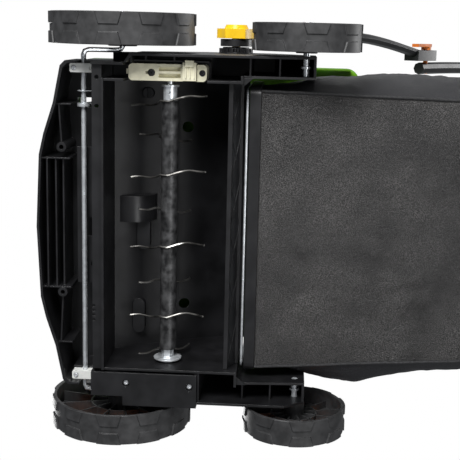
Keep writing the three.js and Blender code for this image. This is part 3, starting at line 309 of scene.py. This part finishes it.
def smooth_group():
    """Round faces of the CAD nodes are shaded smooth, and their real edges stay sharp."""
    tree = bpy.data.node_groups.new("round_faces_smooth", "GeometryNodeTree")
    tree.interface.new_socket("Geometry", in_out="INPUT", socket_type="NodeSocketGeometry")
    tree.interface.new_socket("Geometry", in_out="OUTPUT", socket_type="NodeSocketGeometry")
    start = tree.nodes.new("NodeGroupInput")
    end = tree.nodes.new("NodeGroupOutput")
    plain = tree.nodes.new("GeometryNodeRemoveAttribute")
    plain.inputs["Name"].default_value = "custom_normal"
    weld = tree.nodes.new("GeometryNodeMergeByDistance")
    weld.inputs["Distance"].default_value = 2e-6
    faces = tree.nodes.new("GeometryNodeSetShadeSmooth")
    faces.domain = "FACE"
    edges = tree.nodes.new("GeometryNodeSetShadeSmooth")
    edges.domain = "EDGE"
    edges.inputs["Shade Smooth"].default_value = False
    bend = tree.nodes.new("GeometryNodeInputMeshEdgeAngle")
    sharp = tree.nodes.new("FunctionNodeCompare")
    sharp.data_type = "FLOAT"
    sharp.operation = "GREATER_THAN"
    sharp.inputs["B"].default_value = SHARP_BEND
    tree.links.new(start.outputs["Geometry"], plain.inputs["Geometry"])
    tree.links.new(plain.outputs["Geometry"], weld.inputs["Geometry"])
    tree.links.new(weld.outputs["Geometry"], faces.inputs["Geometry"])
    tree.links.new(faces.outputs["Geometry"], edges.inputs["Geometry"])
    tree.links.new(bend.outputs["Unsigned Angle"], sharp.inputs["A"])
    tree.links.new(sharp.outputs["Result"], edges.inputs["Selection"])
    tree.links.new(edges.outputs["Geometry"], end.inputs["Geometry"])
    return tree


SMOOTH = smooth_group()

for part in frame["record"]["subparts"]:
    node = frame["nodes"][part["node"]]
    node.data.materials.clear()
    node.data.materials.append(FINISH[part["material_slot"]])
    node.modifiers.new("smooth", "NODES").node_group = SMOOTH


# ------------------------------------------------------------ building pieces


class Shape:
    """Points in millimetres and faces, gathered before they become one mesh."""

    def __init__(self):
        self.points = []
        self.faces = []

    def grid(self, rows, closed_rows=False, closed_columns=False):
        """A skin over rows of points."""
        first = len(self.points)
        wide = len(rows[0])
        for row in rows:
            self.points.extend(row)
        last_row = len(rows) if closed_rows else len(rows) - 1
        last_column = wide if closed_columns else wide - 1
        for i in range(last_row):
            for j in range(last_column):
                a = first + i * wide + j
                b = first + i * wide + (j + 1) % wide
                c = first + ((i + 1) % len(rows)) * wide + (j + 1) % wide
                d = first + ((i + 1) % len(rows)) * wide + j
                self.faces.append((a, b, c, d))

    def lathe(self, profile, y, z, turns=72):
        """A closed profile of (radius, x) turned about a line along X."""
        rows = []
        for i in range(turns):
            angle = 2 * math.pi * i / turns
            rows.append([(x, y + r * math.cos(angle), z + r * math.sin(angle))
                         for r, x in profile])
        self.grid(rows, closed_rows=True, closed_columns=True)

    def slab(self, corners, x0, x1):
        """A flat outline in Y and Z with thickness along X."""
        first = len(self.points)
        count = len(corners)
        for x in (x0, x1):
            self.points.extend([(x, y, z) for y, z in corners])
        self.faces.append(tuple(first + i for i in range(count)))
        self.faces.append(tuple(first + count + i for i in reversed(range(count))))
        for i in range(count):
            j = (i + 1) % count
            self.faces.append((first + i, first + j, first + count + j, first + count + i))

    def tube(self, path, radius, sides=10):
        """A round wire or piping along a path of points."""
        points = [Vector(p) for p in path]
        rows = []
        for i, here in enumerate(points):
            ahead = points[min(i + 1, len(points) - 1)] - points[max(i - 1, 0)]
            along = ahead.normalized()
            hint = Vector((0, 0, 1)) if abs(along.z) < 0.9 else Vector((0, 1, 0))
            u = along.cross(hint).normalized()
            v = along.cross(u)
            rows.append([tuple(here + radius * (u * math.cos(a) + v * math.sin(a)))
                         for a in (2 * math.pi * k / sides for k in range(sides))])
        first = len(self.points)
        self.grid(rows, closed_columns=True)
        self.faces.append(tuple(first + k for k in range(sides)))
        last = first + (len(rows) - 1) * sides
        self.faces.append(tuple(last + k for k in reversed(range(sides))))

    def piece(self, name, look, body, sharp=35, outwards=True):
        """Makes the mesh, gives it its finish, and lets it ride on its body."""
        mesh = bpy.data.meshes.new(name)
        mesh.from_pydata([at(*p) for p in self.points], [], self.faces)
        if outwards:
            work = bmesh.new()
            work.from_mesh(mesh)
            bmesh.ops.recalc_face_normals(work, faces=work.faces)
            work.to_mesh(mesh)
            work.free()
        for face in mesh.polygons:
            face.use_smooth = True
        mesh.set_sharp_from_angle(angle=math.radians(sharp))
        mesh.materials.append(FINISH[look])
        obj = bpy.data.objects.new(name, mesh)
        bpy.context.collection.objects.link(obj)
        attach(obj, body)
        return obj


# ------------------------------------------------------------ wheels


def lug(shape, spec, side, turn, from_outside):
    """One trapezoid tread block, wide at the wheel's edge and narrow towards its middle.

    Its first row is the worn face, and its second the foot, sunk a little into the tread."""
    radius, width, y = spec["radius"], spec["width"], spec["y"]
    pitch = 2 * math.pi / spec["lugs"]
    inner = side * (spec["x"] - width / 2)
    draft = 0.9
    rows = []
    for foot in (0, 1):
        r = radius - LUG_DEPTH * foot - 0.3 * foot
        spread = draft * foot / radius
        row = []
        for reach, size, way in ((0.0, LUG_BASE, 1), (1.0, LUG_TIP, -1)):
            depth = reach * LUG_REACH * width + (0.4 if reach == 0 else foot * draft)
            if from_outside:
                depth = width - depth
            for k in range(LUG_STEPS + 1):
                share = (k / LUG_STEPS - 0.5) * way
                angle = turn + share * (size * pitch + 2 * spread)
                row.append((inner + side * depth, y + r * math.cos(angle),
                            radius + r * math.sin(angle)))
        rows.append(row)
    first = len(shape.points)
    shape.grid(rows, closed_columns=True)
    last = first + 2 * LUG_STEPS + 1
    for k in range(LUG_STEPS):
        shape.faces.append((first + k, first + k + 1, last - 1 - k, last - k))


def tread_wheel(spec, side, name):
    """A wheel: tread and barrel, lugs from both edges, windowed web, ring rib, hub and spokes."""
    radius, width, y = spec["radius"], spec["width"], spec["y"]
    inner = side * (spec["x"] - width / 2)

    def deep(depth):
        """The place along X at some depth, counted outwards from the wheel's inner face."""
        return inner + side * depth

    def radial(turn, low, high, half):
        """Corners in Y and Z of a bar that runs outwards from the wheel's middle."""
        along = (math.cos(turn), math.sin(turn))
        across = (-math.sin(turn), math.cos(turn))
        return [(y + along[0] * r + across[0] * w, radius + along[1] * r + across[1] * w)
                for r, w in ((low, -half), (high, -half), (high, half), (low, half))]

    tread = radius - LUG_DEPTH
    barrel = radius - RIM_THICK
    web = width - RIB_INSET
    hub = radius * HUB_SHARE
    ring = radius * RING_SHARE
    shape = Shape()
    shape.lathe([(tread - TREAD_CHAMFER, deep(0)), (tread, deep(TREAD_CHAMFER)),
                 (tread, deep(width - TREAD_CHAMFER)), (tread - TREAD_CHAMFER, deep(width)),
                 (barrel + BARREL_CHAMFER, deep(width)), (barrel, deep(width - BARREL_CHAMFER)),
                 (barrel, deep(BARREL_CHAMFER)), (barrel + BARREL_CHAMFER, deep(0))], y, radius)
    for i in range(spec["lugs"]):
        turn = (i + LUG_OFFSET) * 2 * math.pi / spec["lugs"]
        lug(shape, spec, side, turn, False)
        lug(shape, spec, side, turn, True)
    # Web with windows between its inner and outer rings.
    for low, high in ((hub - 1, ring), (radius * WINDOW_SHARE, barrel + 0.5)):
        shape.lathe([(low, deep(web)), (high, deep(web)), (high, deep(web + WEB_THICK)),
                     (low, deep(web + WEB_THICK))], y, radius)
    # Ring rib and hub on the inner face.
    shape.lathe([(ring - 1, deep(RIB_INSET)), (ring + 1, deep(RIB_INSET)), (ring + 1, deep(web)),
                 (ring - 1, deep(web))], y, radius)
    shape.lathe([(HUB_BORE, deep(-HUB_PROUD)), (hub - 0.8, deep(-HUB_PROUD)),
                 (hub, deep(0.8 - HUB_PROUD)), (hub, deep(web)), (HUB_BORE, deep(web))],
                y, radius, 36)
    # Radial ribs, and a broad band of web behind every other one.
    for i in range(2 * SPOKES):
        turn = math.pi * (i + 0.5) / SPOKES
        shape.slab(radial(turn, hub - 1, barrel + 0.5, SPOKE_HALF), deep(RIB_INSET), deep(web + 0.5))
        if i % 2 == 0:
            low, high = [radius * share for share in BAND_SHARES]
            shape.slab(radial(turn, low, high, BAND_HALF), deep(web), deep(web + WEB_THICK))
    made = shape.piece(name + "_tread", "wheel_plastic", name)
    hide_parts(name)


for side, word in ((1, "left"), (-1, "right")):
    tread_wheel(FRONT_WHEEL, side, f"front_wheel_{word}")
    tread_wheel(REAR_WHEEL, side, f"rear_wheel_{word}")


# ------------------------------------------------------------ bag


def blended(sections, y):
    """The bag's section at any place along Y, by smooth steps between the listed ones."""
    for low, high in zip(sections, sections[1:]):
        if y <= high[0]:
            share = (y - low[0]) / (high[0] - low[0])
            share = share * share * (3 - 2 * share) * 0.5 + share * 0.5
            return [a + (b - a) * share for a, b in zip(low[1:], high[1:])]
    return list(sections[-1][1:])


def crease(x, y, z, size, depth):
    """How far slack cloth stands off its stretched shape: soft swells, and sharper folds on them."""
    place = Vector((x, y, z)) / size
    fold = 0.3 - abs(noise.noise(place * 1.9 + Vector((7, 3, 1))))
    return depth * (noise.noise(place) + 0.8 * fold + 0.3 * noise.noise(place * 4.1))


BAG_FRONT, BAG_REAR = BAG_LENGTH
BAG_Y = [BAG_FRONT + (BAG_REAR - BAG_FRONT) * i / BAG_STEPS for i in range(BAG_STEPS + 1)]


def slack(y):
    """Cloth is held flat at the mouth frame and at the rear board, and is loose between."""
    front = min(1.0, (y - BAG_FRONT) / 40)
    rear = min(1.0, (BAG_REAR - y) / 40)
    return max(0.0, min(front, rear))


def across(first, last, share):
    """A place between two others, by its share of the way."""
    return first + (last - first) * share


def bag_bottom():
    """The speckled bottom panel, stretched at its edges and sagging between them."""
    shape = Shape()
    rows = []
    for y in BAG_Y:
        half, _, low, _ = blended(BAG_SECTIONS, y)
        row = []
        for j in range(BOTTOM_STEPS + 1):
            share = -1 + 2 * j / BOTTOM_STEPS
            give = slack(y) * (1 - share ** 4)
            z = low - 2.2 * give + crease(share * half, y, 0, 75, 3.2) * give
            row.append((share * half, y, z))
        rows.append(row)
    shape.grid(rows)
    return shape.piece("bag_bottom_panel", "bag_fabric", "bag", outwards=False)


def side_point(y, turn, side):
    """Across the side band: turn 0 is the bottom seam and 1 the top seam. The band bellies out low
    down, and more on the machine's right, where the slack of the cloth has gathered."""
    half, wide, low, high = blended(BAG_SECTIONS, y)
    belly = math.sin(math.pi / 2 * min(1.0, turn / BELLY_TURN))
    x = half + (wide - half) * belly
    if turn > BELLY_TURN:
        x -= SHOULDER * ((turn - BELLY_TURN) / (1 - BELLY_TURN)) ** 3
    loose = SLACK_RIGHT if side < 0 else SLACK_LEFT
    gathered = math.exp(-(((y - SLACK_Y) / SLACK_SPREAD) ** 2))
    x += loose * gathered * math.sin(math.pi * turn ** 0.5)
    x += crease(turn * 210, y * 0.8, side * 50, 42, 4.6) * slack(y) * math.sin(math.pi * turn)
    return (side * x, y, low + (high - low) * turn)


def bag_side(side, name):
    """A side band, from the bottom seam to the top seam."""
    shape = Shape()
    rows = [[side_point(y, j / SIDE_STEPS, side) for j in range(SIDE_STEPS + 1)] for y in BAG_Y]
    shape.grid(rows)
    return shape.piece(name, "bag_side", "bag", outwards=False, sharp=80)


def bag_top():
    """The top panel between the two side bands, which sags behind the lid."""
    shape = Shape()
    rows = []
    for y in BAG_Y:
        left = side_point(y, 1, 1)
        right = side_point(y, 1, -1)
        high = blended(BAG_SECTIONS, y)[3]
        row = []
        for j in range(TOP_STEPS + 1):
            share = j / TOP_STEPS
            x = across(right[0], left[0], share)
            arch = math.sin(math.pi * share)
            sag = TOP_SAG * arch * max(0.0, min(1.0, (y - 235) / 50)) * slack(y)
            z = high - sag + crease(x, y, 200, 60, 3.0) * slack(y) * arch * 0.9
            row.append((x, y, z))
        rows.append(row)
    shape.grid(rows)
    return shape.piece("bag_top_panel", "bag_side", "bag", outwards=False, sharp=80)


def bag_rear():
    """The rear panel, puffed out a little round the board sewn into it."""
    shape = Shape()
    rows = []
    high_steps, wide_steps = REAR_STEPS
    for i in range(high_steps + 1):
        turn = i / high_steps
        left = side_point(BAG_REAR, turn, 1)
        right = side_point(BAG_REAR, turn, -1)
        row = []
        for j in range(wide_steps + 1):
            share = j / wide_steps
            arch = math.sin(math.pi * share) * math.sin(math.pi * turn)
            puff = arch * (5 + crease(share * 330, turn * 90, 9, 55, 3.0))
            row.append((across(right[0], left[0], share), BAG_REAR + puff, left[2]))
        rows.append(row)
    shape.grid(rows)
    return shape.piece("bag_rear_panel", "bag_side", "bag", outwards=False, sharp=80)


panels = [bag_bottom(), bag_side(1, "bag_side_left"), bag_side(-1, "bag_side_right"), bag_top(),
          bag_rear()]
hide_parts("bag_body")


def piping():
    """Cord piping sewn into the long seams and round the rear board."""
    shape = Shape()
    for side in (1, -1):
        for turn, lift in ((0, -0.5), (1, 0.5)):
            path = [side_point(y, turn, side) for y in BAG_Y[::2]]
            shape.tube([(x, y, z + lift) for x, y, z in path], PIPING_RADIUS)
        path = [side_point(BAG_REAR, turn / 12, side) for turn in range(13)]
        shape.tube(path, PIPING_RADIUS)
    for turn in (0, 1):
        left = side_point(BAG_REAR, turn, 1)
        path = [(left[0] * (1 - k / 10), left[1], left[2]) for k in range(21)]
        shape.tube(path, PIPING_RADIUS)
    return shape.piece("bag_piping", "bag_tape", "bag", sharp=60)


trim = piping()


def mouth_wire():
    """The bag's bent wire frame, which lies behind the deck's rear edge."""
    shape = Shape()
    corner = MOUTH["corner"]
    middle = MOUTH["half"] - corner
    low = MOUTH["low"] + corner
    high = MOUTH["high"] - corner
    path = []
    for cx, cz, start in ((middle, high, 0), (-middle, high, 90), (-middle, low, 180),
                          (middle, low, 270)):
        for k in range(7):
            turn = math.radians(start + 15 * k)
            path.append((cx + corner * math.cos(turn), MOUTH["y"], cz + corner * math.sin(turn)))
    path.append(path[0])
    shape.tube(path, MOUTH["wire"])
    made = shape.piece("bag_mouth_wire", "zinc", "bag", sharp=80)
    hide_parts("bag_wire")


mouth_wire()

# ------------------------------------------------------------ screws and nuts


def screw(name, place, radius, height, recess, look):
    """A screw head seen from below, with a domed rim and a cross recess."""
    x, y, z = place
    shape = Shape()
    rings = [(0.0, height - recess), (0.34, height - recess), (0.42, height), (0.8, height * 0.93),
             (1.0, height * 0.6), (1.0, 0.0)]
    rows = []
    for share, drop in rings:
        row = []
        for k in range(SCREW_SIDES):
            turn = 2 * math.pi * k / SCREW_SIDES
            in_cross = share in (0.34, 0.42)
            cross = 0.55 + 0.45 * abs(math.cos(2 * turn)) ** 2 if in_cross else 1.0
            r = radius * share * cross
            row.append((x + r * math.cos(turn), y + r * math.sin(turn), z - drop))
        rows.append(row)
    shape.grid(rows, closed_columns=True)
    # The head's flat seat closes the skin.
    first = len(shape.points)
    turns = [2 * math.pi * k / SCREW_SIDES for k in range(SCREW_SIDES)]
    shape.points.extend([(x + radius * math.cos(t), y + radius * math.sin(t), z) for t in turns])
    shape.faces.append(tuple(first + k for k in range(SCREW_SIDES)))
    shape.piece(name, look, "deck", sharp=30)


for spec in SCREWS:
    screw(*spec)


def wheel_nut(spec, side, name):
    """Flanged nut on the end of a wheel's stub, in the middle of its orange dish."""
    radius, y = spec["radius"], spec["y"]
    face = side * (spec["x"] + spec["width"] / 2 - NUT["sunk"])
    rear = face + side * NUT["flange_thick"]
    shape = Shape()
    shape.lathe([(0.0, face), (NUT["flange"], face), (NUT["flange"], rear), (0.0, rear)],
                y, radius, 32)
    turns = [math.pi * k / 3 for k in range(6)]
    corners = [(y + NUT["corner"] * math.cos(t), radius + NUT["corner"] * math.sin(t))
               for t in turns]
    low, high = sorted((face + side * NUT["low"], face + side * NUT["high"]))
    shape.slab(corners, low, high)
    shape.piece(name + "_nut", "screw_head", name, sharp=25)


for side, word in ((1, "left"), (-1, "right")):
    wheel_nut(FRONT_WHEEL, side, f"front_wheel_{word}")
    wheel_nut(REAR_WHEEL, side, f"rear_wheel_{word}")

# ------------------------------------------------------------ stage, light and camera


def stage_floor():
    """A pale floor that is seen from above alone, so that the machine can be seen from below."""
    bpy.ops.mesh.primitive_plane_add(size=FLOOR_SIZE, location=(0, 0, -FLOOR_DROP))
    floor = bpy.context.object
    floor.name = "floor"
    look = bpy.data.materials.new("pale_floor")
    look.use_nodes = True
    tree = look.node_tree
    shader = tree.nodes["Principled BSDF"]
    shader.inputs["Base Color"].default_value = (0.42, 0.415, 0.41, 1)
    shader.inputs["Roughness"].default_value = 0.9
    shader.inputs["Emission Color"].default_value = (1, 0.99, 0.98, 1)
    shader.inputs["Emission Strength"].default_value = 0.5
    clear = tree.nodes.new("ShaderNodeBsdfTransparent")
    mixed = tree.nodes.new("ShaderNodeMixShader")
    back = tree.nodes.new("ShaderNodeNewGeometry").outputs["Backfacing"]
    tree.links.new(back, mixed.inputs["Fac"])
    tree.links.new(shader.outputs["BSDF"], mixed.inputs[1])
    tree.links.new(clear.outputs["BSDF"], mixed.inputs[2])
    tree.links.new(mixed.outputs["Shader"], tree.nodes["Material Output"].inputs["Surface"])
    floor.data.materials.append(look)
    floor.visible_shadow = False
    floor.visible_diffuse = False
    floor.visible_glossy = False


def lamp(name, place, target, size, power):
    """A soft square lamp that faces its target."""
    data = bpy.data.lights.new(name, "AREA")
    data.size = size
    data.energy = power
    obj = bpy.data.objects.new(name, data)
    bpy.context.collection.objects.link(obj)
    obj.location = place
    obj.rotation_mode = "QUATERNION"
    obj.rotation_quaternion = (Vector(target) - Vector(place)).to_track_quat("-Z", "Y")


stage_floor()
for spec in LAMPS:
    lamp(*spec)

# The camera sees a white backdrop, and the machine is lit by a dimmer, cooler one.
world = bpy.data.worlds.new("studio")
bpy.context.scene.world = world
world.use_nodes = True
sky = world.node_tree
glow = sky.nodes["Background"]
glow.inputs["Color"].default_value = (0.93, 0.96, 1, 1)
glow.inputs["Strength"].default_value = WORLD_GLOW
backdrop = sky.nodes.new("ShaderNodeBackground")
backdrop.inputs["Color"].default_value = (1, 1, 1, 1)
seen = sky.nodes.new("ShaderNodeLightPath").outputs["Is Camera Ray"]
either = sky.nodes.new("ShaderNodeMixShader")
sky.links.new(seen, either.inputs["Fac"])
sky.links.new(glow.outputs["Background"], either.inputs[1])
sky.links.new(backdrop.outputs["Background"], either.inputs[2])
sky.links.new(either.outputs["Shader"], sky.nodes["World Output"].inputs["Surface"])
bpy.context.scene.view_settings.view_transform = "Standard"

camera_data = bpy.data.cameras.new("camera")
camera_data.sensor_width = 36
camera_data.lens = CAMERA_LENS
camera_data.clip_start = 0.01
camera_data.clip_end = 100
camera = bpy.data.objects.new("camera", camera_data)
bpy.context.collection.objects.link(camera)
axes = Matrix([CAMERA_RIGHT, [-c for c in CAMERA_DOWN], [-c for c in CAMERA_FORWARD]]).transposed()
camera.matrix_world = Matrix.Translation(CAMERA_PLACE) @ axes.to_4x4()
bpy.context.scene.camera = camera
